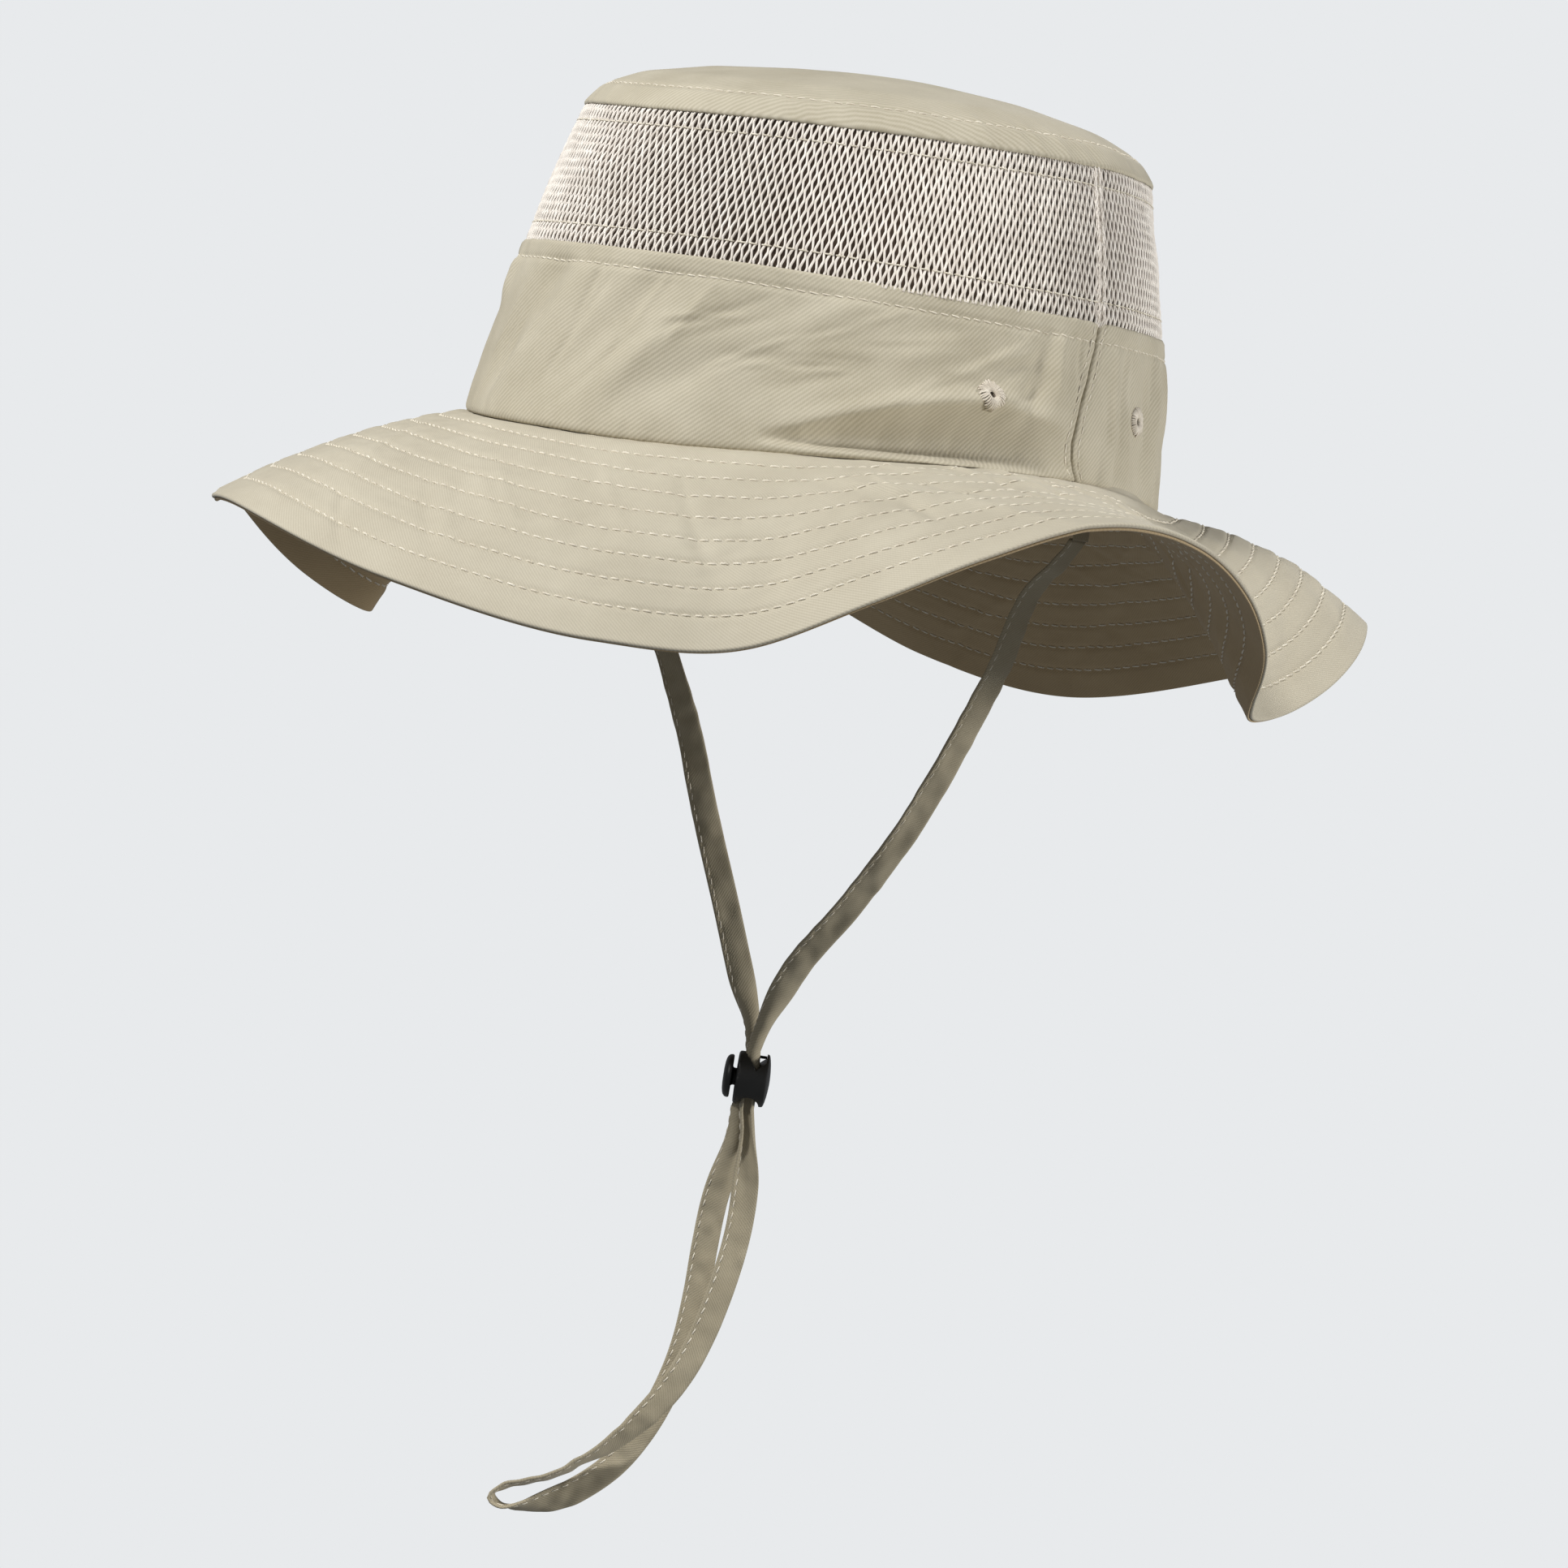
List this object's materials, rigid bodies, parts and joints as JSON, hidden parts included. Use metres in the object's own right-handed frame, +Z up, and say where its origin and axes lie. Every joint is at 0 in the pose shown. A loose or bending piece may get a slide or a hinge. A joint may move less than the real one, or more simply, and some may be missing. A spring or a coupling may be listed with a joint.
{
  "type": "boonie hat",
  "caption": "Wide-brimmed cloth sun hat with a mesh vent band, quilted wavy brim, flat chin strap and sprung cord lock.",
  "frame": {"origin": "centre of the head opening, at the height of the seam between crown and brim", "axes": "+Z up the crown, -Y the front of the hat, +X the wearer's left"},
  "size_m": [0.294, 0.304, 0.3858],
  "materials": {
    "cloth": "matte",
    "net": "matte",
    "lining": "matte",
    "thread": "matte",
    "lock_plastic": "satin",
    "spring_steel": "satin"
  },
  "bodies": {
    "hat": {"crown_top": "cloth", "mesh_panel_front": "net", "mesh_panel_back": "net", "side_panel_front": "cloth", "side_panel_back": "cloth", "crown_seam_tape": "lining", "mesh_seam_tape": "lining", "side_seam_tape_left": "lining", "side_seam_tape_right": "lining", "sweatband": "lining", "brim_upper": "cloth", "brim_stiffener": "lining", "brim_lower": "cloth", "eyelet_left_front": "thread", "eyelet_left_back": "thread", "eyelet_right_front": "thread", "eyelet_right_back": "thread", "strap_anchor_left": "cloth", "strap_anchor_right": "cloth"},
    "chin_strap": {"strap_left": "cloth", "strap_right": "cloth", "strap_loop": "cloth"},
    "cord_lock": {"cord_lock_barrel": "lock_plastic", "cord_lock_spring": "spring_steel"},
    "cord_lock_button": {"cord_lock_plunger": "lock_plastic"}
  },
  "joints": [
    {"name": "chin_strap_swing", "type": "hinge", "parent": "hat", "child": "chin_strap", "pos_m": [0, 0, -0.0103], "axis": [1, 0, 0], "range_deg": [-30, 30], "deforming": ["strap_left", "strap_right"]},
    {"name": "cord_lock_slide", "type": "slide", "parent": "chin_strap", "child": "cord_lock", "axis": [0, 0, 1], "range_m": [-0.015, 0.025], "deforming": ["strap_left", "strap_right", "strap_loop"]},
    {"name": "cord_lock_press", "type": "slide", "parent": "cord_lock", "child": "cord_lock_button", "axis": [0.809, 0.5878, 0], "range_m": [0, 0.0007], "stiffness_N_per_m": 150, "springref_m": -0.002, "deforming": ["cord_lock_spring"]}
  ]
}
